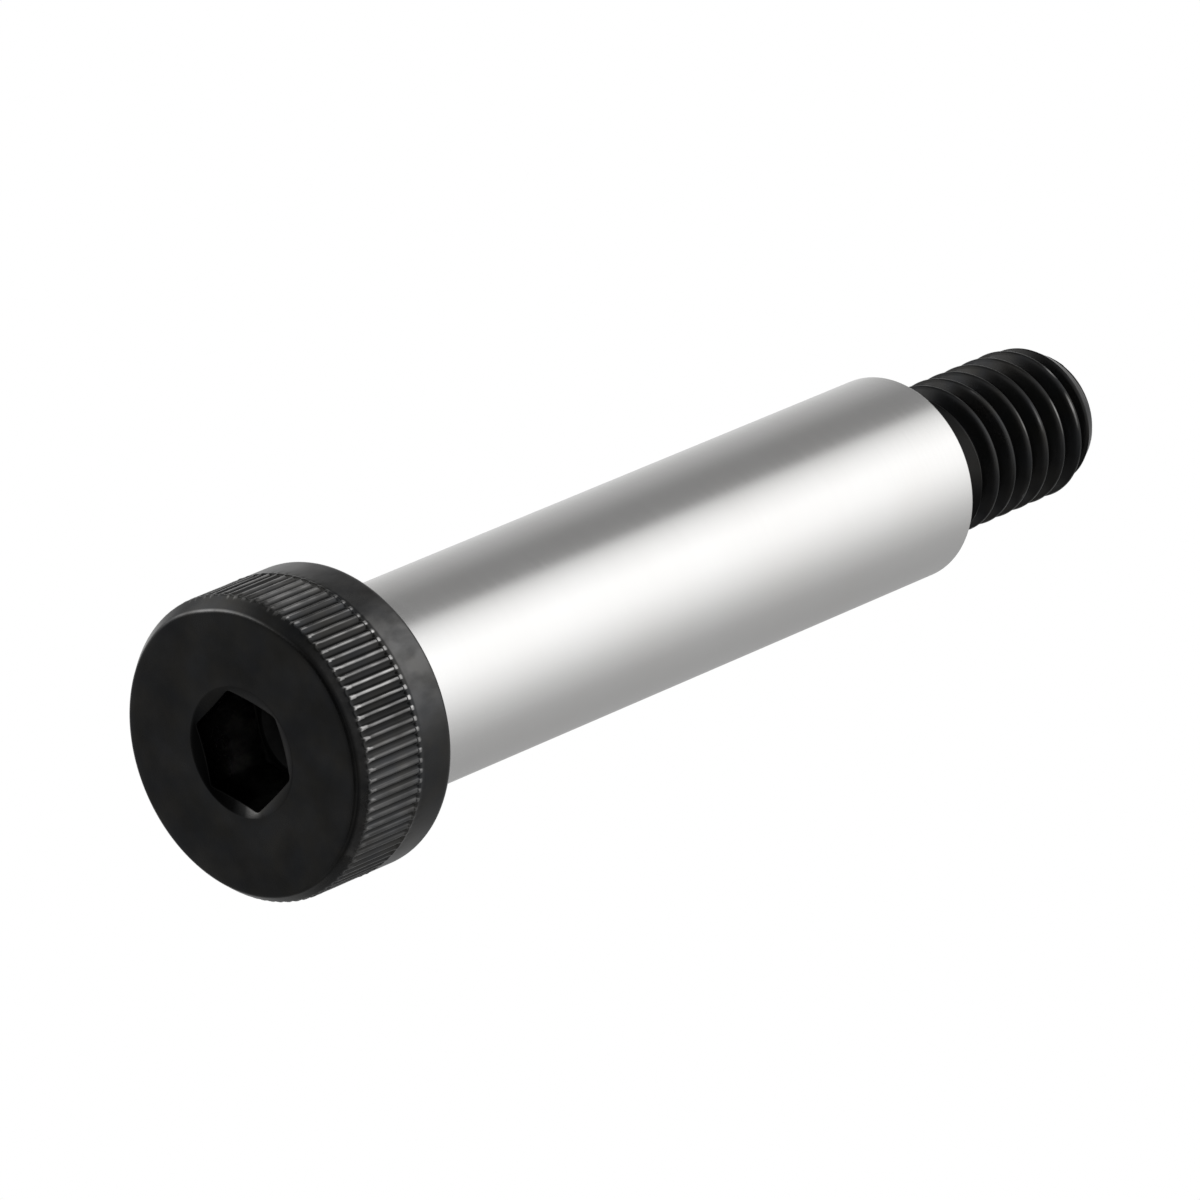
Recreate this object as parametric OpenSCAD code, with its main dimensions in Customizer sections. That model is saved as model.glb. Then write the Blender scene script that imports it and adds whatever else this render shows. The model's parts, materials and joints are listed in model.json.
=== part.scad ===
// Shoulder bolt with a knurled round head, a hexagon socket and a ground plain shoulder.
// Millimetres. +Z runs from the head's outer face to the thread tip, and the origin is the
// centre of that face, so the bolt stands on its head.

/* [Head] */
// Diameter over the knurl and the plain band
head_d = 18.4; // [17:0.1:21]
// Height from the outer face to the bearing face
head_h = 7.92; // [7.6:0.02:10]
// Diameter of the flat outer face, inside its chamfer
face_d = 17.3; // [15.5:0.1:16.9]
// Height of the chamfer round the outer face
face_chamfer_h = 0.8; // [0.3:0.1:1.2]
// Radius of the rounded edge at the bearing face
rear_edge_r = 0.5; // [0.2:0.1:0.8]

/* [Knurl] */
// Distance from one ridge to the next, round the head
knurl_pitch = 0.625; // [0.5:0.025:1]
// Depth of the grooves
knurl_depth = 0.24; // [0.1:0.02:0.3]
// Width of the flat top of each ridge
knurl_top_w = 0.12; // [0.06:0.02:0.2]
// Height of the plain band between the knurl and the bearing face
plain_band_h = 2.85; // [1.5:0.05:4]

/* [Socket] */
// Hexagon size across its flats
socket_af = 6.35; // [4.5:0.05:7.5]
// Depth of the hexagon
socket_depth = 5; // [4.2:0.1:5.4]
// Diameter of the conical mouth at the outer face
socket_mouth_d = 7.8; // [7.4:0.1:9]
// Slope of that mouth, measured from the outer face
socket_mouth_slope = 15; // [10:1:30]
// Angle of the drilled bottom cone, measured at its point
drill_angle = 118; // [90:1:140]

/* [Shoulder] */
// Diameter of the ground shoulder
shoulder_d = 12.62; // [11:0.02:14]
// Length from the bearing face to the end of the shoulder
shoulder_len = 50.8; // [12:0.1:150]
// Depth of the relief under the head
relief_depth = 0.22; // [0.1:0.01:0.4]
// Width of the relief under the head
relief_w = 2.2; // [1.2:0.1:3]
// Fillet between the bearing face and the relief
relief_fillet_r = 0.5; // [0.2:0.1:0.8]
// Size of the broken edge at the end of the shoulder
shoulder_break = 0.12; // [0.05:0.01:0.4]

/* [Thread] */
// Diameter over the thread
thread_d = 9.4; // [8:0.05:10.5]
// Distance between neighbouring thread turns
thread_pitch = 1.5875; // [1:0.0125:2]
// Length from the end of the shoulder to the tip
thread_len = 14.75; // [9:0.05:30]
// Width of the plain neck next to the shoulder
thread_neck_w = 2; // [1.2:0.1:3]
// Depth of that neck below the bottom of the thread
thread_neck_depth = 0.05; // [0.02:0.01:0.3]
// Length of the slope from the neck up to the full thread
thread_slope_len = 1.2; // [0.6:0.1:2]
// Angle round the axis at which the thread leaves the neck
thread_start_angle = 97; // [0:1:359]
// Fillet between the end of the shoulder and the neck
thread_neck_fillet_r = 0.7; // [0.2:0.1:0.9]
// Length of the chamfer at the tip
tip_chamfer_len = 1.8; // [0.8:0.1:2.2]
// Diameter of the flat end of the tip
tip_d = 7.5; // [6:0.1:7.5]

/* [Hidden] */

// Smoothness of every round surface
$fn = 96;
// Overlap that joins one shape to the next
joint = 0.1;

head_r = head_d / 2;
face_r = face_d / 2;
knurl_end_z = head_h - plain_band_h;
knurl_teeth = round(PI * head_d / knurl_pitch);
knurl_root_r = head_r - knurl_depth;
// Half the width of a groove at the head's surface
knurl_groove_half_w = (PI * head_d / knurl_teeth - knurl_top_w) / 2;
// Radius where a ridge's two sides would meet, above its flat top
knurl_peak_r = head_r + knurl_depth * knurl_top_w / 2 / knurl_groove_half_w;

socket_corner_d = socket_af / cos(30);
socket_mouth_r = socket_mouth_d / 2;
// Height of the mouth's cone, from the outer face to its point
mouth_cone_h = socket_mouth_r * tan(socket_mouth_slope);
drill_r = socket_af / 2;
drill_cone_h = drill_r / tan(drill_angle / 2);

shoulder_r = shoulder_d / 2;
shoulder_z = head_h + shoulder_len;
relief_r = shoulder_r - relief_depth;

// Thread form: a symmetrical 60 degree profile with a flat top and a flat bottom
thread_r = thread_d / 2;
thread_top_w = thread_pitch / 6;
thread_bottom_w = thread_pitch / 6;
thread_flank_angle = 30;
thread_depth = (thread_pitch - thread_top_w - thread_bottom_w) / 2 / tan(thread_flank_angle);
thread_root_r = thread_r - thread_depth;
thread_neck_r = thread_root_r - thread_neck_depth;
tip_z = shoulder_z + thread_len;
tip_r = tip_d / 2;

// Straight steps of the helix in one turn
thread_steps = 40;
// Radius of the hidden foot of the thread ridge, inside the core
thread_foot_r = thread_root_r - 0.25;
thread_foot_w = thread_pitch - thread_bottom_w + 2 * (thread_root_r - thread_foot_r) * tan(thread_flank_angle);
thread_first_z = shoulder_z + thread_neck_w;
thread_full_z = thread_first_z + thread_slope_len;
tip_chamfer_z = tip_z - tip_chamfer_len;
thread_last_z = tip_z - thread_foot_w / 2 - joint;
thread_turns = (thread_last_z - thread_first_z) / thread_pitch;

// Sharp outline of the knurl, by turns at the peak of a ridge and the bottom of a groove
knurl_outline = [
    for (i = [0 : 2 * knurl_teeth - 1])
        let (
            a = i * 180 / knurl_teeth,
            r = i % 2 == 0 ? knurl_peak_r : knurl_root_r
        )
        [r * cos(a), r * sin(a)]
];

// Radius of the blank that the thread is made on, at height z: a slope up from the neck,
// the full thread, then the chamfer at the tip
function thread_blank_r(z) =
    z < thread_full_z
        ? thread_neck_r + (thread_r - thread_neck_r) * (z - thread_first_z) / thread_slope_len
    : z < tip_chamfer_z
        ? thread_r
    : thread_r - (thread_r - tip_r) * (z - tip_chamfer_z) / tip_chamfer_len;

// One corner of the thread ridge: turn t, radius r, and height dz above the ridge's middle
function thread_point(t, r, dz) =
    let (
        a = thread_start_angle + 360 * t,
        z = thread_first_z + t * thread_pitch + dz
    )
    [r * cos(a), r * sin(a), z];

// The four corners of the ridge at turn t, where the blank cuts its top to radius top_r
function thread_ring(t) =
    let (
        top_r = thread_blank_r(thread_first_z + t * thread_pitch),
        top_w = thread_top_w + 2 * (thread_r - top_r) * tan(thread_flank_angle)
    )
    [
        thread_point(t, thread_foot_r, -thread_foot_w / 2),
        thread_point(t, top_r, -top_w / 2),
        thread_point(t, top_r, top_w / 2),
        thread_point(t, thread_foot_r, thread_foot_w / 2)
    ];

module head_section() {
    polygon([
        [0, 0],
        [face_r, 0],
        [head_r, face_chamfer_h],
        [head_r, head_h - rear_edge_r],
        [head_r - rear_edge_r, head_h],
        [0, head_h]
    ]);
    translate([head_r - rear_edge_r, head_h - rear_edge_r])
        circle(rear_edge_r);
}

// Quarter-round fillet in the corner between a shaft of radius r and the face at height z
module fillet_section(r, z, fillet_r) {
    difference() {
        translate([r - joint, z - joint])
            square(fillet_r + joint);
        translate([r + fillet_r, z + fillet_r])
            circle(fillet_r);
    }
}

module shoulder_section() {
    polygon([
        [0, head_h - joint],
        [relief_r, head_h - joint],
        [relief_r, head_h + relief_w - relief_depth],
        [shoulder_r, head_h + relief_w],
        [shoulder_r, shoulder_z - shoulder_break],
        [shoulder_r - shoulder_break, shoulder_z],
        [0, shoulder_z]
    ]);
    fillet_section(relief_r, head_h, relief_fillet_r);
}

// Core under the thread: the blank's outline, no further out than the thread's bottom
module thread_core_section() {
    slope = (thread_r - thread_neck_r) / thread_slope_len;
    tip_slope = (thread_r - tip_r) / tip_chamfer_len;
    polygon([
        [0, shoulder_z - joint],
        [thread_neck_r, shoulder_z - joint],
        [thread_neck_r, thread_first_z],
        [thread_root_r, thread_first_z + thread_neck_depth / slope],
        [thread_root_r, tip_z - (thread_root_r - tip_r) / tip_slope],
        [tip_r, tip_z],
        [0, tip_z]
    ]);
    fillet_section(thread_neck_r, shoulder_z, thread_neck_fillet_r);
}

// Head blank with its straight knurl, which ends square at the plain band.
// The blank cuts the sharp ridges off to their flat tops.
module head() {
    intersection() {
        rotate_extrude()
            head_section();
        union() {
            linear_extrude(knurl_end_z)
                polygon(knurl_outline);
            translate([0, 0, knurl_end_z])
                cylinder(r = head_r + joint, h = plain_band_h + joint);
        }
    }
}

// Hexagon socket with its conical mouth and drilled bottom
module socket() {
    translate([0, 0, -joint])
        cylinder(d = socket_corner_d, h = socket_depth + joint, $fn = 6);
    translate([0, 0, -joint])
        cylinder(r1 = socket_mouth_r * (1 + joint / mouth_cone_h), r2 = 0, h = mouth_cone_h + joint);
    translate([0, 0, socket_depth])
        cylinder(r1 = drill_r, r2 = 0, h = drill_cone_h);
}

// Helical ridge of the thread, right-handed, whose foot lies inside the core
module thread_ridge() {
    rings = ceil(thread_turns * thread_steps);
    points = [for (i = [0 : rings]) each thread_ring(thread_turns * i / rings)];
    sides = [
        for (i = [0 : rings - 1], k = [0 : 3])
            let (a = 4 * i + k, b = 4 * i + (k + 1) % 4)
            each [[a, b, b + 4], [a, b + 4, a + 4]]
    ];
    polyhedron(
        points = points,
        faces = concat([[3, 2, 1, 0]], sides, [[for (k = [0 : 3]) 4 * rings + k]])
    );
}

module shoulder_bolt() {
    color([0.16, 0.16, 0.17])
    difference() {
        union() {
            head();
            rotate_extrude()
                shoulder_section();
            rotate_extrude()
                thread_core_section();
            thread_ridge();
        }
        socket();
    }
}

shoulder_bolt();
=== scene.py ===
import json
import math

import bmesh
import bpy
import numpy as np
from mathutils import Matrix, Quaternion, Vector


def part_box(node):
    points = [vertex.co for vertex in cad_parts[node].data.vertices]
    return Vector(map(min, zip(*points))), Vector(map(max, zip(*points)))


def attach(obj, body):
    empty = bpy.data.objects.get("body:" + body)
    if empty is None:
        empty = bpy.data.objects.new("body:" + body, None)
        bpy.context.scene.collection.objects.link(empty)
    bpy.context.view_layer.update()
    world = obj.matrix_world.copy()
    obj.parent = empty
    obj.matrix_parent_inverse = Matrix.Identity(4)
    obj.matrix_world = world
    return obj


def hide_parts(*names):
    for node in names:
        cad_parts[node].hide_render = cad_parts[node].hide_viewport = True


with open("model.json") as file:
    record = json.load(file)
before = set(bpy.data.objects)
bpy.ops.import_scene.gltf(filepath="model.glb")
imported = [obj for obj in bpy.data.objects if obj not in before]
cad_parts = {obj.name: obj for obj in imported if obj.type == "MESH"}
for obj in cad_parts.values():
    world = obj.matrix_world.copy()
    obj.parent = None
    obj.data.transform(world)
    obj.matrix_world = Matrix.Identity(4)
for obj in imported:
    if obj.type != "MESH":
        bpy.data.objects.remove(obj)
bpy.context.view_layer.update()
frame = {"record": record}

# The bolt's lengths below are in millimetres, and the frame is in metres
MM = 0.001

NODE = "shoulder_bolt"
high_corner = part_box(NODE)[1] / MM
mounts = {mount["name"]: mount for mount in frame["record"]["mounts"]}

# Head
HEAD_R = high_corner.x
HEAD_H = mounts["bearing_face"]["pos_m"][2] / MM
FACE_R = 8.65
CHAMFER_H = 0.8
RIM_R = 0.3
REAR_EDGE_R = 0.5
# The rim of the face is worn back on one side: how far, and the side's middle and half width
FACE_WEAR = 0.22
WORN_SIDE = (-163, 28)
# The last flat ring of points on the face stands this many rim radii inside its edge
FACE_RING = 1.5

# Knurl: one tooth has these columns of points, as shares of half a tooth from its crest
KNURL_TEETH = 92
KNURL_COLUMNS = (0, 0.16, 0.34, 0.5, 1, 1.5, 1.66, 1.84)
KNURL_SEED = 4
# Shares of half a tooth up to which the columns are a ridge's flat top, its edges and its sides
RIDGE_TOP = 0.2
RIDGE_EDGE = 0.4
RIDGE_SIDE = 0.6
# Groove: its depth, where its side starts from the crest, and the share of the depth it keeps
KNURL_DEPTH = 0.24
GROOVE_START_SHARE = 0.19
GROOVE_FLOOR = 0.96
# Some ridges stand lower than others by up to this, and have dents up to this deep
RIDGE_UNEVEN = 0.015
DENT_DEPTH = 0.012

# Heights of the rings of points where the grooves start
KNURL_START_RINGS = (0.3, 0.42, 0.5, 0.56, 0.62, 0.68, 0.74, 0.8, 0.86, 0.93, 1.02, 1.14)
# Heights between which the grooves deepen, and how softly they come out of the chamfer
KNURL_START = (0.45, 1.0)
KNURL_START_ROUNDING = 0.08
# On one side the grooves start later: how much, and the side's middle and half width
KNURL_LATE_START = 0.25
KNURL_LATE_SIDE = (130, 60)
# Heights of the rings along the grooves and round their ends
KNURL_RINGS = (1.3, 1.7, 2.3, 3.0, 3.7, 4.3, 4.7, 4.86)
KNURL_END_RINGS = (4.91, 4.95, 4.99, 5.03, 5.07, 5.11, 5.15, 5.19, 5.26)
# Where the grooves end, and the heights between which they run out
KNURL_END_Z = 5.07
KNURL_RUN_OUT = (4.87, 5.09)
# Bead that the rolling raised at the end of each ridge: its height, half its length, and half
# its width as a share of half a tooth
BEAD_H = 0.025
BEAD_HALF_LEN = 0.14
BEAD_SHARE = 0.48
# The plain band lies a little lower than the ridges, after a short slope
BAND_DROP = 0.01
BAND_DROP_LEN = 0.15
# Heights of its rings, and how far its last one is from the rear edge
BAND_RINGS = (5.4, 5.8, 6.6)
BAND_LAST_RING = 0.1

# Socket
SOCKET_AF = 6.35
SOCKET_DEPTH = 5
# Height of the matt foot of its walls, a painted shade, and radius at which the hexagon's corners
# are cut off
SOCKET_FOOT_H = 0.2
SOCKET_CORNER_R = 3.62
MOUTH_R = 3.9
MOUTH_SLOPE = 15
# Drilled bottom: its angle, how far it stays inside the hexagon's flats, and the height of its
# first ring of points as a share of the cone's
DRILL_ANGLE = 118
DRILL_GAP = 0.01
DRILL_RING = 0.06

# Small rounded edges: their radius, and how far their middle stands off the sharp corner.
# The one between the mouth and the face is flatter.
EDGE_R = 0.08
EDGE_MIDDLE = 0.016
FACE_EDGE_MIDDLE = 0.008
# Distance of a ring of points beside a sharp edge, which keeps the faces there flat
EDGE_STEP = 0.02

# Shoulder and the relief under the head
SHOULDER_R = mounts["shoulder"]["dims"]["r_mm"]
SHOULDER_Z = mounts["shoulder_end_face"]["pos_m"][2] / MM
SHOULDER_RINGS = 9
RELIEF_DEPTH = 0.22
RELIEF_W = 2.2
RELIEF_FILLET_R = 0.5
SHOULDER_BREAK = 0.12
# How far inside its edge the shoulder's end face has a ring of points, and the tip's face
END_FACE_RING = 0.6
TIP_FACE_RING = 0.4

# Thread: a 60 degree profile whose crest and root are flats of a sixth of the pitch each
THREAD_R = 4.7
THREAD_PITCH = 1.5875
TAN_FLANK = math.tan(math.radians(30))
CREST_HALF_W = THREAD_PITCH / 12
THREAD_ROOT_R = THREAD_R - THREAD_PITCH / 3 / TAN_FLANK
# How softly the profile's corners are rounded, and those where the blank cuts it off
CREST_ROUNDING = 0.2
ROOT_ROUNDING = 0.12
BLANK_ROUNDING = 0.06
THREAD_START_ANGLE = 97
THREAD_SLOPE_LEN = 1.2
THREAD_NECK_W = 2
THREAD_NECK_DEPTH = 0.05
THREAD_NECK_R = THREAD_ROOT_R - THREAD_NECK_DEPTH
THREAD_FILLET_R = 0.7
TIP_Z = high_corner.z
TIP_CHAMFER_LEN = 1.8
TIP_R = 3.75
TIP_EDGE_R = 0.1

# Distances from the middle of the thread ridge at which the thread's surface has a row of points
THREAD_ROWS = (0, 0.085, 0.125, 0.165, 0.24, 0.32, 0.4, 0.48, 0.56, 0.62, 0.665, 0.71)
# The rows start this far before the neck's end, and points this close to a plain ring join it
THREAD_LEAD = 0.4
ROW_GAP = 0.02

# Columns of points round the socket, and round the shoulder and the thread
SOCKET_COLUMNS = 144
SHAFT_COLUMNS = 256

# How far each spot is worn bare or painted lighter or darker: 1 is bare steel, 0 plain oxide and
# -1 matt black. Worn crests, beads, rim and nicks are partly real wear; the rest, and the change
# round the bolt, is painted highlight and painted shade. Pairs give it round the bolt, at an angle
# in degrees from +X towards +Y.
# Rim of the face: worn bright in places, with a painted highlight on the sides where light falls
RIM_SIDES = (
    (-210, 0), (-194, 0.7), (-178, 1), (-162, 0.7), (-144, 0.1), (-110, 0.1), (-88, 0.45),
    (-73, 0.6), (-58, 0.45), (-43, 0.2), (-30, 0.2), (-15, 0),
)
# Chamfer: painted shade, matt black on one side, and a faint painted light on the other sides
CHAMFER_PAINTED_LIGHT = (
    (-140, 0), (-120, 0.1), (-88, 0.11), (-70, 0.1), (-43, 0.08), (-28, -0.6), (-15, -1),
    (25, -1), (60, 0),
)
# Knurl ridge tops: worn bright, with painted highlight and painted shade that change by side
CREST_WEAR_AND_LIGHT = (
    (-170, 0.75), (-158, 0.62), (-146, 0.25), (-138, 0.22), (-123, 0.52), (-110, 0.75),
    (-99, 0.45), (-90, 0.2), (-75, 0.15), (-50, 0.08), (-30, 0.05), (150, 0.2), (176, 0.5),
)
# Knurl flanks: painted light and painted shade that change by side
FLANK_PAINTED_LIGHT = (
    (-172, 0.07), (-155, 0.08), (-139, 0), (-128, -0.4), (-95, -0.5), (-84, 0), (-70, 0.1),
    (-48, 0.1), (-30, -0.1), (-15, -0.5), (150, -0.6),
)
# Knurl grooves: darker oxide in the hollows, with painted light and painted shade by side
GROOVE_OXIDE_AND_LIGHT = (
    (-172, 0.12), (-155, 0.12), (-139, -0.1), (-128, -0.5), (-107, -0.5), (-95, -0.75),
    (-80, -0.45), (-60, -0.3), (-40, -0.3), (-27, -0.6), (150, -0.6),
)
# Starts of the ridges on the chamfer: worn bright, with a painted highlight by side
START_WEAR_AND_LIGHT = (
    (-180, 0.2), (-150, 0.25), (-131, 0.7), (-107, 0.95), (-90, 0.65), (-80, 0.4), (-60, 0.25),
    (-45, 0.15), (-25, 0.05), (150, 0.1),
)
# Beads at the ridges' ends: worn bright, with a painted highlight by side
BEAD_WEAR_AND_LIGHT = (
    (-155, 0.1), (-139, 0.45), (-131, 0.9), (-98, 0.95), (-85, 0.5), (-70, 0.4), (-55, 0.1),
    (-20, 0), (150, 0.05),
)
# Plain band: painted shade on one side, and a faint painted light on others
BAND_PAINTED_LIGHT = (
    (-171, 0.095), (-139, 0.1), (-123, 0.14), (-107, 0.11), (-92, 0.05), (-82, 0),
    (-76, -0.25), (-66, -0.37), (-51, -0.22), (-35, -0.1), (150, 0),
)
# Socket mouth: a painted glint beside one corner, and painted shade round most of the rest
MOUTH_PAINTED_LIGHT = (
    (-150, -0.5), (-120, -0.7), (-60, -0.8), (-30, -0.5), (-14, -0.15), (-2, 0.06), (6, 0.24),
    (16, 0), (30, -0.9), (55, -0.9), (70, -0.4), (85, -0.1), (120, -0.1), (160, -0.35),
)
# Thread flanks and roots: painted shade, darkest on the sides turned from the light
THREAD_FLANK_PAINTED_LIGHT = (
    (-185, 0.05), (-172, 0.03), (-162, 0), (-155, -0.4), (-147, -0.6), (-120, -0.35), (-80, -0.35),
    (-60, -0.8), (-37, -0.8), (-25, -0.4), (0, -0.5), (150, -0.5),
)
# Shoulder's end face and the neck: painted shade, standing in for the shoulder's shadow on them
NECK_PAINTED_SHADE = ((-150, -0.6), (-110, -0.5), (-70, -0.8), (-35, -1), (0, -0.6), (150, -0.5))
# Thread crests: painted shade that changes by side; the bright nicks below are wear
THREAD_CREST_PAINTED_SHADE = (
    (-190, -0.5), (-165, -0.5), (-145, -0.15), (-120, -0.05), (-80, -0.1), (-60, -0.45),
    (-35, -0.6), (0, -0.2), (150, -0.1),
)
# Across the rim, from the face to the chamfer, as a share of RIM_SIDES: wear and a painted
# highlight along the rounded edge
RIM_WEAR_AND_LIGHT = (0, 0.12, 0.28, 0.16, 0)
# Socket walls and drilled bottom: painted light that makes the inside of the socket lighter
SOCKET_PAINTED_LIGHT = 0.6
# Foot of the socket walls: painted shade along the bottom edge
SOCKET_FOOT_PAINTED_SHADE = -0.3
DRILL_PAINTED_LIGHT = 0.12
# Painted shade: the ridges are painted darker between their tops and the beads at their ends
RIDGE_END_PAINTED_SHADE = -0.3

# What share of the wear and painted light above each tooth has, from the least to the most
CREST_WEAR_AND_LIGHT_SPREAD = (0.4, 1.1)
START_WEAR_AND_LIGHT_SPREAD = (0.6, 1)
BEAD_WEAR_AND_LIGHT_SPREAD = (0.6, 1)
# How much of a ridge's wear and painted light its edges take on, from the least to the most
EDGE_WEAR_AND_LIGHT_SPREAD = (0, 0.7)
# What share of its wear and painted light a ridge has beside the dents, and how much of it a
# full dent takes
RIDGE_WEAR_AND_LIGHT = 1.25
DENT_WEAR_AND_LIGHT = 0.6
# Heights between which the wear and painted light of the ridges' starts grows, and the chamfer's
# painted light and shade fades
START_WEAR_AND_LIGHT_RISE = (0.5, 0.68)
CHAMFER_PAINTED_LIGHT_FADE = (0.55, 0.75)
# How much later the start's wear and painted light begins on a tooth, and the height at which it
# leaves the edges
START_WEAR_AND_LIGHT_LATE = (0, 0.22)
START_WEAR_AND_LIGHT_END = (0.75, 1.25)
# Shares of the bead's height between which its wear and painted light grows
BEAD_WEAR_AND_LIGHT_RISE = (0.05, 0.5)
# Depths below the thread's crest between which the crest's painted shade and nicks give way to
# the flank's painted light and shade
THREAD_CREST_DEPTHS = (0.11, 0.04)
# Bright nicks on the thread's crest: their rub, the number of spots along the helix of which
# some have one, and the degrees from spot to spot
NICK_RUB = 0.7
NICK_SPOTS = 240
NICK_GAPS = (4, 16)
NICK_SEED = 7

# Numbers of the two finishes in the skin's list of materials
BLACK = 0
GROUND = 1


def smooth_step(x, low, high):
    t = np.clip((x - low) / (high - low), 0, 1)
    return t * t * (3 - 2 * t)


def soft_min(a, b, width):
    """The smaller of a and b, with the corner between them rounded over width."""
    h = np.clip(1 - np.abs(a - b) / width, 0, 1)
    return np.minimum(a, b) - h * h * width / 4


def even_angles(count):
    return np.arange(count) * 360 / count


def one_side(angles, middle, half_width):
    """1 in the middle of one side of the bolt, with a soft fall to 0 about half_width away."""
    turned = np.abs((angles - middle + 180) % 360 - 180)
    return 1 - smooth_step(turned, half_width * 0.5, half_width * 1.5)


def round_bolt(angles, pairs):
    """The value at each angle, between the pairs of angle and value."""
    return np.interp(angles, *zip(*pairs), period=360)


def arc(centre_r, centre_z, radius, start, end, steps):
    """Points (r, z) of an arc in the section, by angle in degrees from the outward direction."""
    angles = np.radians(np.linspace(start, end, steps + 1))
    return [(centre_r + radius * math.cos(a), centre_z + radius * math.sin(a)) for a in angles]


class Skin:
    """One closed surface, made of rings of points round the axis and the bands between them."""

    def __init__(self):
        self.points = []
        self.angles = []
        self.wear_and_painted_light = []
        self.faces = []
        self.finishes = []

    def ring(self, angles, radius, z, wear_and_painted_light=0):
        """Adds one ring of points and returns their numbers. radius, z and the wear and painted
        light may vary.
        """
        first = len(self.points)
        rows = np.broadcast_arrays(angles, radius, z, wear_and_painted_light)
        for angle, r, height, wear_and_painted_light_here in zip(*rows):
            turn = math.radians(angle)
            self.points.append((r * math.cos(turn), r * math.sin(turn), height))
            self.angles.append(float(angle))
            self.wear_and_painted_light.append(float(wear_and_painted_light_here))
        return list(range(first, len(self.points)))

    def face(self, corners, finish):
        """Adds a face, unless its corners have run together."""
        kept = [c for i, c in enumerate(corners) if c != corners[i - 1]]
        if len(set(kept)) > 2:
            self.faces.append(kept)
            self.finishes.append(finish)

    def band(self, a, b, finish):
        """Joins two rings that have the same columns."""
        for i in range(len(a)):
            self.face([a[i - 1], a[i], b[i], b[i - 1]], finish)

    def zip_band(self, a, b, finish):
        """Joins two rings that have different columns, in the order of their angles."""
        next_a = [self.angles[point] for point in a[1:]] + [360, 720]
        next_b = [self.angles[point] for point in b[1:]] + [360, 720]
        i = j = 0
        while i < len(a) or j < len(b):
            here_a, here_b = a[i % len(a)], b[j % len(b)]
            if next_a[i] <= next_b[j]:
                i += 1
                self.face([here_a, a[i % len(a)], here_b], finish)
            else:
                j += 1
                self.face([here_a, b[j % len(b)], here_b], finish)

    def fan(self, ring, z, finish, wear_and_painted_light=0):
        """Closes a ring with triangles that meet on the axis."""
        centre = self.ring([0], 0, z, wear_and_painted_light)[0]
        for i in range(len(ring)):
            self.face([ring[i - 1], ring[i], centre], finish)

    def lathe(self, last, angles, section, finish, wear_and_painted_light=0):
        """Carries the surface on from ring last along a section of (r, z) points."""
        for r, z in section:
            ring = self.ring(angles, r, z, wear_and_painted_light)
            self.band(last, ring, finish)
            last = ring
        return last

    def to_object(self, name, materials):
        mesh = bpy.data.meshes.new(name)
        mesh.from_pydata([Vector(p) * MM for p in self.points], [], self.faces)
        mesh.polygons.foreach_set("material_index", self.finishes)
        wear_and_painted_light = mesh.attributes.new("wear_and_painted_light", "FLOAT", "POINT")
        wear_and_painted_light.data.foreach_set("value", self.wear_and_painted_light)
        build = bmesh.new()
        build.from_mesh(mesh)
        bmesh.ops.recalc_face_normals(build, faces=build.faces)
        build.to_mesh(mesh)
        build.free()
        mesh.polygons.foreach_set("use_smooth", [True] * len(mesh.polygons))
        for material in materials:
            mesh.materials.append(material)
        piece = bpy.data.objects.new(name, mesh)
        bpy.context.scene.collection.objects.link(piece)
        normals = piece.modifiers.new("flat_faces_stay_flat", "WEIGHTED_NORMAL")
        normals.mode = "FACE_AREA_WITH_ANGLE"
        return piece


def socket(skin):
    """Drilled point, hexagon and conical mouth. Returns the ring at the outer face."""
    angles = even_angles(SOCKET_COLUMNS)
    flat_r = SOCKET_AF / 2
    from_flat = np.radians(angles % 60 - 30)
    hexagon_r = np.minimum(flat_r / np.cos(from_flat), SOCKET_CORNER_R)
    drill_r = flat_r - DRILL_GAP
    cone_h = drill_r / math.tan(math.radians(DRILL_ANGLE / 2))
    ring_z = SOCKET_DEPTH + cone_h * DRILL_RING

    cone = skin.ring(angles, drill_r * (1 - DRILL_RING), ring_z, DRILL_PAINTED_LIGHT)
    skin.fan(cone, SOCKET_DEPTH + cone_h, BLACK, DRILL_PAINTED_LIGHT)
    foot = [(drill_r, SOCKET_DEPTH), (hexagon_r, SOCKET_DEPTH)]
    last = skin.lathe(cone, angles, foot, BLACK, SOCKET_FOOT_PAINTED_SHADE)
    walls = [(hexagon_r, z) for z in (SOCKET_DEPTH - SOCKET_FOOT_H, SOCKET_DEPTH / 2)]
    last = skin.lathe(last, angles, walls, BLACK, SOCKET_PAINTED_LIGHT)

    slope = math.tan(math.radians(MOUTH_SLOPE))
    cut_z = (MOUTH_R - hexagon_r) * slope
    mouth = [
        (hexagon_r, cut_z + EDGE_R),
        (hexagon_r + EDGE_MIDDLE, cut_z + EDGE_MIDDLE),
        (hexagon_r + EDGE_R, cut_z - EDGE_R * slope),
        (MOUTH_R - EDGE_R, EDGE_R * slope),
        (MOUTH_R, FACE_EDGE_MIDDLE),
    ]
    last = skin.lathe(last, angles, mouth, BLACK, round_bolt(angles, MOUTH_PAINTED_LIGHT))
    return skin.lathe(last, angles, [(MOUTH_R + EDGE_R, 0)], BLACK)


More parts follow.
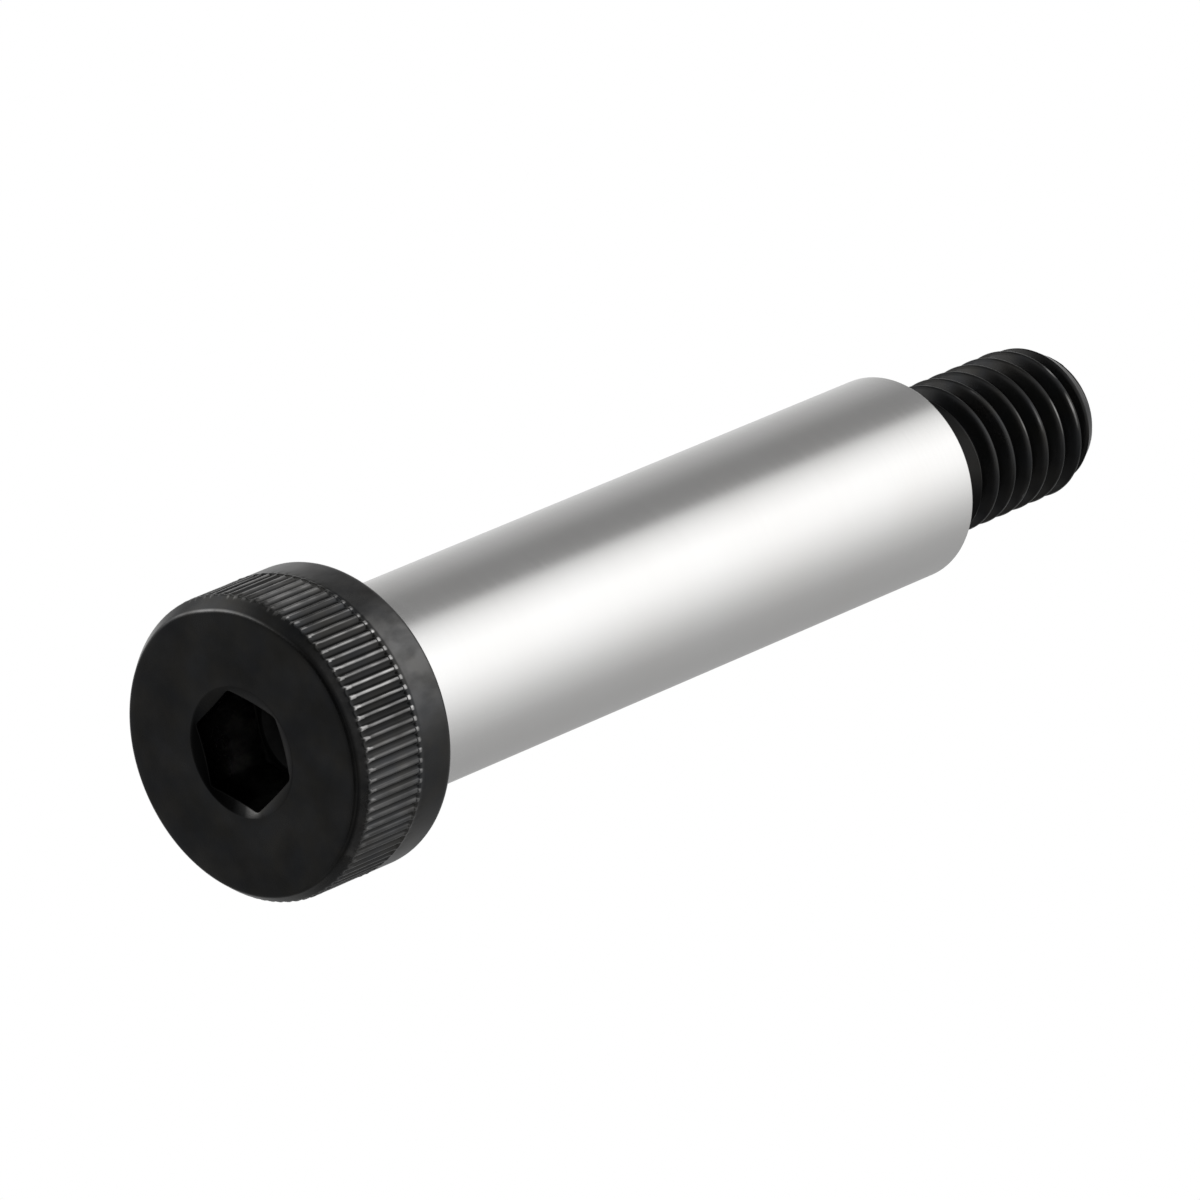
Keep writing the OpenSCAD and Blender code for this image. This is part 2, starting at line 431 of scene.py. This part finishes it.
class Knurl:
    """Columns of points round the head. Each method gives their radius, wear and painted light on
    one ring.
    """

    def __init__(self):
        columns = [min(share, 2 - share) for share in KNURL_COLUMNS]
        places = [i + share / 2 for i in range(KNURL_TEETH) for share in KNURL_COLUMNS]
        self.angles = np.array(places) * (360 / KNURL_TEETH)
        self.from_crest = np.tile(columns, KNURL_TEETH)
        self.top = self.from_crest < RIDGE_TOP
        self.edge = self.from_crest < RIDGE_EDGE
        groove = (self.from_crest - GROOVE_START_SHARE) / (1 - GROOVE_START_SHARE)
        self.groove = np.clip(groove, 0, GROOVE_FLOOR)

        self.random = np.random.default_rng(KNURL_SEED)
        self.crest_r = HEAD_R - self.per_tooth(0, RIDGE_UNEVEN) * self.edge
        self.crest_wear_painted_light = self.wear_and_painted_light(CREST_WEAR_AND_LIGHT) * self.per_tooth(*CREST_WEAR_AND_LIGHT_SPREAD)
        self.start_wear_painted_light = self.wear_and_painted_light(START_WEAR_AND_LIGHT) * self.per_tooth(*START_WEAR_AND_LIGHT_SPREAD)
        self.bead_wear_painted_light = self.wear_and_painted_light(BEAD_WEAR_AND_LIGHT) * self.per_tooth(*BEAD_WEAR_AND_LIGHT_SPREAD)
        self.start_wear_painted_light_late = self.per_tooth(*START_WEAR_AND_LIGHT_LATE)
        self.start_wear_painted_light_end = self.per_tooth(*START_WEAR_AND_LIGHT_END)
        self.edge_wear_painted_light_share = self.per_tooth(*EDGE_WEAR_AND_LIGHT_SPREAD)
        side = self.from_crest < RIDGE_SIDE
        sides_wear_painted_light = np.where(side, self.wear_and_painted_light(FLANK_PAINTED_LIGHT), self.wear_and_painted_light(GROOVE_OXIDE_AND_LIGHT))
        self.groove_oxide_painted_light = sides_wear_painted_light * smooth_step(self.from_crest, RIDGE_TOP, RIDGE_SIDE)

    def per_tooth(self, low, high):
        """One random value for each tooth, held by all its columns."""
        values = self.random.uniform(low, high, KNURL_TEETH)
        return np.repeat(values, len(KNURL_COLUMNS))

    def wear_and_painted_light(self, pairs):
        return round_bolt(self.angles, pairs)

    def start(self, z, face_r):
        """On the chamfer, where the grooves start."""
        chamfer_r = face_r + (HEAD_R - face_r) * z / CHAMFER_H
        late = KNURL_LATE_START * one_side(self.angles, *KNURL_LATE_SIDE)
        depth = smooth_step(z - late, *KNURL_START)
        groove_r = self.crest_r - KNURL_DEPTH * self.groove * depth
        r = soft_min(groove_r, chamfer_r, KNURL_START_ROUNDING)
        started = np.where(z < self.start_wear_painted_light_end, self.edge, self.top)
        begun = self.start_wear_painted_light * smooth_step(z - self.start_wear_painted_light_late, *START_WEAR_AND_LIGHT_RISE)
        wear_and_painted_light = np.where(started, begun, self.groove_oxide_painted_light * depth)
        return r, wear_and_painted_light + self.wear_and_painted_light(CHAMFER_PAINTED_LIGHT) * (1 - smooth_step(z, *CHAMFER_PAINTED_LIGHT_FADE))

    def along(self):
        """Along the ridges, each with a dent of its own."""
        dent = self.per_tooth(0, 1)
        r = self.crest_r - KNURL_DEPTH * self.groove - DENT_DEPTH * dent * self.top
        ridge_wear_painted_light = self.crest_wear_painted_light * (RIDGE_WEAR_AND_LIGHT - DENT_WEAR_AND_LIGHT * dent)
        edge_share = self.edge_wear_painted_light_share * self.edge
        side_wear_painted_light = self.groove_oxide_painted_light + (ridge_wear_painted_light - self.groove_oxide_painted_light) * edge_share
        return r, np.where(self.top, ridge_wear_painted_light, side_wear_painted_light)

    def end(self, z):
        """Where the grooves run out into the plain band, and the ridges end in beads."""
        depth = 1 - smooth_step(z, *KNURL_RUN_OUT)
        bead = max(0, 1 - ((z - KNURL_END_Z) / BEAD_HALF_LEN) ** 2)
        bead = bead * np.maximum(0, 1 - (self.from_crest / BEAD_SHARE) ** 2)
        drop = BAND_DROP * smooth_step(z, KNURL_END_Z, KNURL_END_Z + BAND_DROP_LEN)
        r = self.crest_r - KNURL_DEPTH * self.groove * depth + BEAD_H * bead - drop
        ridge_wear_painted_light = np.where(self.top, RIDGE_END_PAINTED_SHADE, self.groove_oxide_painted_light) * depth
        bead_share = smooth_step(bead, *BEAD_WEAR_AND_LIGHT_RISE)
        return r, ridge_wear_painted_light + (self.bead_wear_painted_light - ridge_wear_painted_light) * bead_share


def outer_face(skin, inner, angles, face_r):
    """Flat outer face and its rounded rim. Returns the ring where the chamfer starts."""
    last = skin.ring(angles, face_r - FACE_RING * RIM_R, 0)
    skin.zip_band(inner, last, BLACK)
    chamfer_turn = math.atan2(CHAMFER_H, HEAD_R - FACE_R)
    inset = RIM_R * math.tan(chamfer_turn / 2)
    rim = arc(-inset, RIM_R, RIM_R, -90, math.degrees(chamfer_turn) - 90, len(RIM_WEAR_AND_LIGHT) - 1)
    sides_wear_painted_light = round_bolt(angles, RIM_SIDES)
    for (outward, z), wear_and_painted_light in zip(rim, RIM_WEAR_AND_LIGHT):
        last = skin.lathe(last, angles, [(face_r + outward, z)], BLACK, wear_and_painted_light * sides_wear_painted_light)
    return last


def head_side(skin, inner):
    """Outer face, knurl, plain band and rear edge. Returns the ring at the rear face."""
    knurl = Knurl()
    angles = knurl.angles
    face_r = FACE_R - FACE_WEAR * one_side(angles, *WORN_SIDE)
    last = outer_face(skin, inner, angles, face_r)

    rings = [(z, *knurl.start(z, face_r)) for z in KNURL_START_RINGS]
    rings += [(z, *knurl.along()) for z in KNURL_RINGS]
    rings += [(z, *knurl.end(z)) for z in KNURL_END_RINGS]
    for z, r, wear_and_painted_light in rings:
        last = skin.lathe(last, angles, [(r, z)], BLACK, wear_and_painted_light)

    band_r = HEAD_R - BAND_DROP
    rear_z = HEAD_H - REAR_EDGE_R
    section = [(band_r, z) for z in (*BAND_RINGS, rear_z - BAND_LAST_RING)]
    section += arc(band_r - REAR_EDGE_R, rear_z, REAR_EDGE_R, 0, 90, 7)
    return skin.lathe(last, angles, section, BLACK, knurl.wear_and_painted_light(BAND_PAINTED_LIGHT))


def shoulder(skin, rear):
    """Relief under the head, ground shoulder and its end face. Returns the ring on the neck."""
    angles = even_angles(SHAFT_COLUMNS)
    relief_r = SHOULDER_R - RELIEF_DEPTH
    fillet_z = HEAD_H + RELIEF_FILLET_R
    fillet = arc(relief_r + RELIEF_FILLET_R, fillet_z, RELIEF_FILLET_R, -90, -180, 6)
    foot = skin.ring(angles, *fillet[0])
    skin.zip_band(rear, foot, BLACK)
    ground_z = HEAD_H + RELIEF_W
    section = fillet[1:] + [(relief_r, ground_z - RELIEF_DEPTH)]
    section += [(SHOULDER_R - EDGE_STEP, ground_z - EDGE_STEP)]
    last = skin.lathe(foot, angles, section, BLACK)

    end_r = SHOULDER_R - SHOULDER_BREAK
    end_z = SHOULDER_Z - SHOULDER_BREAK
    heights = np.linspace(ground_z + EDGE_STEP, end_z - EDGE_STEP, SHOULDER_RINGS)
    section = [(SHOULDER_R, z) for z in heights]
    section += arc(end_r, end_z, SHOULDER_BREAK, 10, 80, 5)
    last = skin.lathe(last, angles, section, GROUND)

    fillet_r, fillet_z = THREAD_NECK_R + THREAD_FILLET_R, SHOULDER_Z + THREAD_FILLET_R
    section = [(end_r - EDGE_STEP, SHOULDER_Z), (end_r - END_FACE_RING, SHOULDER_Z)]
    section += arc(fillet_r, fillet_z, THREAD_FILLET_R, -90, -180, 8)
    return skin.lathe(last, angles, section, BLACK, round_bolt(angles, NECK_PAINTED_SHADE))


def thread_r(offset, z):
    """Radius of the thread at a distance from the ridge's middle, cut down to the blank at z."""
    flank = THREAD_R - (abs(offset) - CREST_HALF_W) / TAN_FLANK
    ridge = soft_min(flank, THREAD_R, CREST_ROUNDING)
    profile = -soft_min(-ridge, -THREAD_ROOT_R, ROOT_ROUNDING)
    start = (z - SHOULDER_Z - THREAD_NECK_W) / THREAD_SLOPE_LEN
    start_r = THREAD_NECK_R + (THREAD_R - THREAD_NECK_R) * np.maximum(start, 0)
    tip_r = TIP_R + (THREAD_R - TIP_R) * (TIP_Z - z) / TIP_CHAMFER_LEN
    return soft_min(profile, np.minimum(start_r, tip_r), BLANK_ROUNDING)


class Helix:
    """Surface of the thread: rows of points that follow the helix between two plain rings."""

    def __init__(self, skin, first, last, first_z, last_z):
        self.skin = skin
        self.first, self.last = first, last
        self.first_z, self.last_z = first_z, last_z
        self.angles = even_angles(SHAFT_COLUMNS)
        mirrored = [THREAD_PITCH - offset for offset in reversed(THREAD_ROWS[1:])]
        self.offsets = [*THREAD_ROWS, THREAD_PITCH / 2, *mirrored]
        self.helix_flank_painted_light = round_bolt(self.angles, THREAD_FLANK_PAINTED_LIGHT)
        self.crest_wear_painted_light = round_bolt(self.angles, THREAD_CREST_PAINTED_SHADE)
        random = np.random.default_rng(NICK_SEED)
        self.nicks = np.clip(random.normal(0, 1, NICK_SPOTS) - 1, 0, 1)
        self.nick_angles = np.cumsum(random.uniform(*NICK_GAPS, NICK_SPOTS))
        self.made = {}

    def wear_and_painted_light(self, column, turns, r):
        """Wear and painted light at radius r in a column, after so many whole turns of the helix.
        """
        helix_angle = turns * 360 + self.angles[column]
        nick = np.interp(helix_angle, self.nick_angles, self.nicks)
        crest_wear_painted_light = self.crest_wear_painted_light[column] + NICK_RUB * nick
        low, high = (THREAD_R - depth for depth in THREAD_CREST_DEPTHS)
        crest_share = smooth_step(r, low, high)
        return self.helix_flank_painted_light[column] * (1 - crest_share) + crest_wear_painted_light * crest_share

    def point(self, column, row):
        """The point's number. After a turn the columns meet rows that are a whole turn on."""
        turn, column = divmod(column, SHAFT_COLUMNS)
        row += turn * len(self.offsets)
        turns, place = divmod(row, len(self.offsets))
        offset = self.offsets[place]
        angle = self.angles[column]
        z = (turns + (angle - THREAD_START_ANGLE) / 360) * THREAD_PITCH + offset
        z += SHOULDER_Z + THREAD_NECK_W
        if z < self.first_z + ROW_GAP:
            return self.first[column]
        if z > self.last_z - ROW_GAP:
            return self.last[column]
        if (column, row) not in self.made:
            r = float(thread_r(min(offset, THREAD_PITCH - offset), z))
            ring = self.skin.ring([angle], r, z, self.wear_and_painted_light(column, turns, r))
            self.made[column, row] = ring[0]
        return self.made[column, row]

    def patch(self, column, row):
        """The face from a column and row to the next ones."""
        lower = [self.point(column, row), self.point(column + 1, row)]
        upper = [self.point(column + 1, row + 1), self.point(column, row + 1)]
        self.skin.face(lower + upper, BLACK)


def thread(skin, neck):
    """Right-handed thread with its neck and tip."""
    angles = even_angles(SHAFT_COLUMNS)
    first_z = SHOULDER_Z + THREAD_NECK_W - THREAD_LEAD
    last_z = TIP_Z - TIP_EDGE_R
    painted_neck_shade = round_bolt(angles, NECK_PAINTED_SHADE)
    first = skin.lathe(neck, angles, [(THREAD_NECK_R, first_z)], BLACK, painted_neck_shade)
    last = skin.ring(angles, thread_r(THREAD_PITCH / 2, last_z), last_z)

    helix = Helix(skin, first, last, first_z, last_z)
    rows = len(helix.offsets)
    turns = math.ceil((TIP_Z - SHOULDER_Z) / THREAD_PITCH)
    # A row climbs by a pitch in each turn, so the first ones start in front of the neck's end
    for row in range(-2 * rows, turns * rows):
        for column in range(SHAFT_COLUMNS):
            helix.patch(column, row)

    tip = arc(TIP_R - TIP_EDGE_R, last_z, TIP_EDGE_R, 20, 90, 4)
    end = skin.lathe(last, angles, tip + [(TIP_R - TIP_FACE_RING, TIP_Z)], BLACK)
    skin.fan(end, TIP_Z, BLACK)


class Graph:
    """A short way to write shader nodes: add() makes one and plugs values or sockets into it."""

    def __init__(self, tree):
        self.tree = tree
        tree.nodes.clear()

    def add(self, kind, inputs=None, output=0, **settings):
        made = self.tree.nodes.new(kind)
        for key, value in settings.items():
            setattr(made, key, value)
        for key, value in (inputs or {}).items():
            socket_in = made.inputs[key]
            if isinstance(value, bpy.types.NodeSocket):
                self.tree.links.new(value, socket_in)
            else:
                socket_in.default_value = value
        return made.outputs[output] if made.outputs else made

    def math(self, operation, a, b=0.0):
        return self.add("ShaderNodeMath", {0: a, 1: b}, operation=operation)

    def mix(self, factor, a, b):
        return self.add("ShaderNodeMix", {0: factor, 6: a, 7: b}, 2, data_type="RGBA")

    def remap(self, value, low, high, to_low=0.0, to_high=1.0):
        inputs = {0: value, 1: low, 2: high, 3: to_low, 4: to_high}
        return self.add("ShaderNodeMapRange", inputs)

    def noise(self, scale, detail, stretch=(1, 1, 1)):
        """Noise with scale features in a millimetre, stretched along the axes."""
        place = self.add("ShaderNodeTexCoord", output="Object")
        size = [s / MM for s in stretch]
        moved = self.add("ShaderNodeMapping", {"Vector": place, "Scale": size})
        return self.add("ShaderNodeTexNoise", {"Vector": moved, "Scale": scale, "Detail": detail})

    def metal(self, colour, rough, bumps, strength, depth):
        """Ends the graph as a metal with bumps as deep as depth, in millimetres."""
        inputs = {"Height": bumps, "Strength": strength, "Distance": depth * MM}
        normal = self.add("ShaderNodeBump", inputs)
        inputs = {"Base Color": colour, "Metallic": 1.0, "Roughness": rough, "Normal": normal}
        shader = self.add("ShaderNodeBsdfPrincipled", inputs)
        self.add("ShaderNodeOutputMaterial", {"Surface": shader})


# Colours and roughness of the metals. A pair holds the two ends that noise mixes.
COOL_OXIDE = ((0.028, 0.029, 0.031, 1), (0.041, 0.042, 0.044, 1))
WARM_OXIDE = ((0.0305, 0.03, 0.0285, 1), (0.0455, 0.044, 0.0415, 1))
# Bare steel for wear and painted highlight, matt black for oxide in hollows and painted shade
BARE_STEEL_AND_HIGHLIGHT = (0.72, 0.71, 0.7, 1)
MATT_BLACK_AND_SHADE = (0.006, 0.006, 0.006, 1)
OXIDE_ROUGH = (0.34, 0.27)
GROUND_STEEL = ((0.76, 0.757, 0.75, 1), (0.74, 0.733, 0.722, 1))
GROUND_ROUGH = (0.22, 0.27)
# Values between which each noise does its work
OXIDE_NOISE = (0.35, 0.65)
MISSED_NOISE = (0.36, 0.64)
GROUND_NOISE = (0.3, 0.7)
# Share of the wear and painted light that the noise's spots take away
MISSED = 0.5


def new_material(name):
    material = bpy.data.materials.new(name)
    material.use_nodes = True
    return material, Graph(material.node_tree)


def black_oxide():
    """Thin black oxide on steel: a dark, mottled metal, brighter or blacker by its wear and
    painted light.
    """
    material, graph = new_material("black_oxide")
    mottle = graph.remap(graph.noise(scale=0.3, detail=3.0), *OXIDE_NOISE)
    tint = graph.remap(graph.noise(scale=0.5, detail=2.0), *OXIDE_NOISE)
    spots = graph.noise(scale=1.1, detail=5.0, stretch=(1, 1, 0.6))
    missed = graph.remap(spots, *MISSED_NOISE, MISSED, 0.0)
    wear_and_painted_light = graph.add("ShaderNodeAttribute", output="Fac", attribute_name="wear_and_painted_light")
    lost = graph.math("MULTIPLY", wear_and_painted_light, missed)
    colour = graph.mix(tint, graph.mix(mottle, *COOL_OXIDE), graph.mix(mottle, *WARM_OXIDE))
    colour = graph.mix(graph.math("SUBTRACT", wear_and_painted_light, lost), colour, BARE_STEEL_AND_HIGHLIGHT)
    colour = graph.mix(graph.math("MULTIPLY", wear_and_painted_light, -1.0), colour, MATT_BLACK_AND_SHADE)
    rough = graph.remap(mottle, 0.0, 1.0, *OXIDE_ROUGH)
    grain = graph.noise(scale=9.0, detail=4.0)
    graph.metal(colour, rough, grain, strength=0.25, depth=0.015)
    return material


def ground_steel():
    """Cylindrically ground steel: bright, with fine marks round the shoulder."""
    material, graph = new_material("ground_steel")
    marks = graph.noise(scale=6.0, detail=6.0, stretch=(0.02, 0.02, 1))
    patches = graph.remap(graph.noise(scale=0.12, detail=2.0), *GROUND_NOISE)
    colour = graph.mix(patches, *GROUND_STEEL)
    rough = graph.remap(marks, *GROUND_NOISE, *GROUND_ROUGH)
    graph.metal(colour, rough, marks, strength=0.1, depth=0.002)
    return material


def make_bolt():
    skin = Skin()
    rim = socket(skin)
    rear = head_side(skin, rim)
    neck = shoulder(skin, rear)
    thread(skin, neck)
    return skin.to_object("bolt_skin", [black_oxide(), ground_steel()])


# Camera: the point it looks at, how far it stands from there and in which direction, in degrees
# from +X towards +Y and above the horizon, and how it is turned about its own line of sight
CAMERA_LENS = 403.14
CAMERA_AIM = (-0.05, 0.05, 31.68)
CAMERA_DISTANCE = 789.13
CAMERA_AZIMUTH = -102.893
CAMERA_ELEVATION = -45.385
CAMERA_ROLL = 67.12
CAMERA_CLIP_START = 50

# Key lamp: the same, in metres, with its size and its power in watts
LAMP_AIM = (0, 0, 0.03)
LAMP_DISTANCE = 0.9
LAMP_AZIMUTH = -107
LAMP_ELEVATION = 48
LAMP_SIZE = 0.7
LAMP_POWER = 4.5

# Brightness of the world where no camera or reflection sees it
FILL_LEVEL = 0.55


def towards(azimuth, elevation):
    """The direction at angles in degrees from +X towards +Y and above the horizon."""
    azimuth, elevation = math.radians(azimuth), math.radians(elevation)
    level = math.cos(elevation)
    return Vector((math.cos(azimuth) * level, math.sin(azimuth) * level, math.sin(elevation)))


def look_from(thing, back, roll=0):
    """Turns a camera or a lamp to look against the direction back, rolled by degrees."""
    thing.rotation_mode = "QUATERNION"
    turn = Quaternion((0, 0, 1), math.radians(roll))
    thing.rotation_quaternion = (-back).to_track_quat("-Z", "Y") @ turn


def make_camera():
    camera = bpy.data.objects.new("camera", bpy.data.cameras.new("camera"))
    bpy.context.scene.collection.objects.link(camera)
    camera.data.lens = CAMERA_LENS
    camera.data.clip_start = CAMERA_CLIP_START * MM
    back = towards(CAMERA_AZIMUTH, CAMERA_ELEVATION)
    camera.location = (Vector(CAMERA_AIM) + back * CAMERA_DISTANCE) * MM
    look_from(camera, back, CAMERA_ROLL)
    bpy.context.scene.camera = camera


def make_world():
    """White behind the bolt and in its reflections, and a soft fill on everything else."""
    world = bpy.data.worlds.new("studio")
    bpy.context.scene.world = world
    world.use_nodes = True
    graph = Graph(world.node_tree)
    path = graph.add("ShaderNodeLightPath").node.outputs
    seen = graph.math("MAXIMUM", path["Is Camera Ray"], path["Is Glossy Ray"])
    seen = graph.math("MAXIMUM", seen, path["Is Transmission Ray"])
    strength = graph.remap(seen, 0.0, 1.0, FILL_LEVEL, 1.0)
    shader = graph.add("ShaderNodeBackground", {"Color": (1, 1, 1, 1), "Strength": strength})
    graph.add("ShaderNodeOutputWorld", {"Surface": shader})


def make_lamp():
    """Large soft key lamp over the -Y side. It gives the light, and the wall its reflection."""
    lamp = bpy.data.lights.new("key_lamp", "AREA")
    lamp.size = LAMP_SIZE
    lamp.energy = LAMP_POWER
    key = bpy.data.objects.new("key_lamp", lamp)
    back = towards(LAMP_AZIMUTH, LAMP_ELEVATION)
    key.location = Vector(LAMP_AIM) + back * LAMP_DISTANCE
    look_from(key, back)
    key.visible_camera = False
    key.visible_glossy = False
    bpy.context.scene.collection.objects.link(key)


# Brightness of the studio wall by direction, in degrees from +X towards +Y, above the bolt's
# foot and below it: a pale wall on the +Y side, a dark flag on the -X side, the key softbox
# over the -Y side, and a grey wall on the +X side
WALL_LEVELS = (
    (77, 0.9, 0.42), (95, 0.78, 0.42), (112, 0.65, 0.9), (125, 0.55, 1.5), (145, 0.42, 1.5),
    (165, 0.27, 0.4), (198, 0.27, 0.15), (206, 0.8, 0.15), (222, 1.15, 0.15), (245, 1.4, 0.15),
    (270, 1.3, 0.15), (295, 1.0, 0.15), (318, 0.68, 0.1), (345, 0.45, 0.1), (377, 0.4, 0.15),
    (420, 0.4, 0.35), (437, 0.9, 0.42),
)
# Heights in metres of the wall's rows, and what share of each level a row has: above, below
WALL_ROWS = ((-1.35, 0, 0), (-1.15, 0, 1), (-0.15, 0, 1), (0.12, 1, 0), (1.8, 1, 0))
# Height and brightness of the points that close it, at the bottom and at the top
WALL_FOOT = (-1.35, 0.03)
WALL_CEILING = (2.3, 0.1)
# Its radius in metres, and the degrees from one column to the next
WALL_R = 1.0
WALL_STEP = 3


def wall_mesh():
    """Wall round the bolt, closed by a disc below and a cone above, with its levels."""
    stops, above, below = zip(*WALL_LEVELS)
    azimuths = np.arange(stops[0], stops[-1] + 0.5, WALL_STEP)
    above, below = np.interp(azimuths, stops, above), np.interp(azimuths, stops, below)
    count = len(azimuths)
    points, shades, faces = [], [], []
    for row, (z, upper, lower) in enumerate(WALL_ROWS):
        for i, azimuth in enumerate(np.radians(azimuths)):
            points.append((WALL_R * math.cos(azimuth), WALL_R * math.sin(azimuth), z))
            shade = above[i] * upper + below[i] * lower
            shades.append(shade + WALL_FOOT[1] * (1 - upper - lower))
            if row and i:
                a = row * count + i
                faces.append((a - 1, a, a - count, a - count - 1))
    for first, (z, level) in ((0, WALL_FOOT), (len(points) - count, WALL_CEILING)):
        points.append((0, 0, z))
        shades.append(level)
        faces += [(first + i, first + i + 1, len(points) - 1) for i in range(count - 1)]

    mesh = bpy.data.meshes.new("studio_wall")
    mesh.from_pydata(points, [], faces)
    mesh.attributes.new("level", "FLOAT", "POINT").data.foreach_set("value", shades)
    return mesh


def make_wall():
    """Studio wall that only reflections see."""
    mesh = wall_mesh()
    material, graph = new_material("studio_wall")
    level = graph.add("ShaderNodeAttribute", output="Fac", attribute_name="level")
    glow = graph.add("ShaderNodeEmission", {"Strength": level})
    graph.add("ShaderNodeOutputMaterial", {"Surface": glow})
    mesh.materials.append(material)
    wall = bpy.data.objects.new("studio_wall", mesh)
    bpy.context.scene.collection.objects.link(wall)
    wall.visible_camera = False
    wall.visible_diffuse = False
    wall.visible_shadow = False
    return wall


# Floor, in metres: half its side, its height, and the distances from the bolt between which it
# fades out
FLOOR_HALF_SIDE = 1.5
FLOOR_Z = -0.00002
FLOOR_FADE = (0.06, 0.375)
FLOOR_COLOUR = (0.9, 0.9, 0.9, 1)
# Distances from the bolt between which its shade on the floor ends
FLOOR_SHADE = (0.04, 0.09)
# The rays that the head reflects to it are shorter than these lengths, and the thread's longer.
# They skip that shade, with a soft change between the two lengths.
HEAD_RAYS = (0.008, 0.014)
THREAD_RAYS = (0.055, 0.065)


def floor_paint():
    """Pale paint. It shows from above only and fades out far away. Of the bolt's reflections,
    only the shoulder's show it close to the bolt, where the bolt shades it."""
    material, graph = new_material("floor")
    place = graph.add("ShaderNodeTexCoord", output="Object")
    distance = graph.add("ShaderNodeVectorMath", {0: place}, 1, operation="LENGTH")
    far = graph.remap(distance, *FLOOR_FADE)
    near = graph.remap(distance, *FLOOR_SHADE, 1.0, 0.0)
    path = graph.add("ShaderNodeLightPath").node.outputs
    from_head = graph.remap(path["Ray Length"], *HEAD_RAYS, 1.0, 0.0)
    from_thread = graph.remap(path["Ray Length"], *THREAD_RAYS)
    skipped = graph.math("MULTIPLY", graph.math("MAXIMUM", from_head, from_thread), near)
    skipped = graph.math("MULTIPLY", skipped, path["Is Glossy Ray"])
    below = graph.add("ShaderNodeNewGeometry", output="Backfacing")
    hidden = graph.math("MAXIMUM", graph.math("MAXIMUM", far, below), skipped)
    paint = graph.add("ShaderNodeBsdfDiffuse", {"Color": FLOOR_COLOUR})
    clear = graph.add("ShaderNodeBsdfTransparent")
    surface = graph.add("ShaderNodeMixShader", {0: hidden, 1: paint, 2: clear})
    graph.add("ShaderNodeOutputMaterial", {"Surface": surface})
    return material


def make_floor():
    """Plain floor just under the bolt, which camera and reflections see."""
    side = FLOOR_HALF_SIDE
    corners = [(side * x, side * y, FLOOR_Z) for x, y in ((-1, -1), (1, -1), (1, 1), (-1, 1))]
    mesh = bpy.data.meshes.new("floor")
    mesh.from_pydata(corners, [], [(0, 1, 2, 3)])
    mesh.materials.append(floor_paint())
    floor = bpy.data.objects.new("floor", mesh)
    bpy.context.scene.collection.objects.link(floor)
    floor.visible_diffuse = False
    floor.visible_transmission = False
    floor.visible_shadow = False
    return floor


bpy.context.scene.view_settings.view_transform = "Standard"
make_camera()
make_world()
make_lamp()
bolt = make_bolt()
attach(bolt, "root")
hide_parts(NODE)
make_floor()
make_wall()
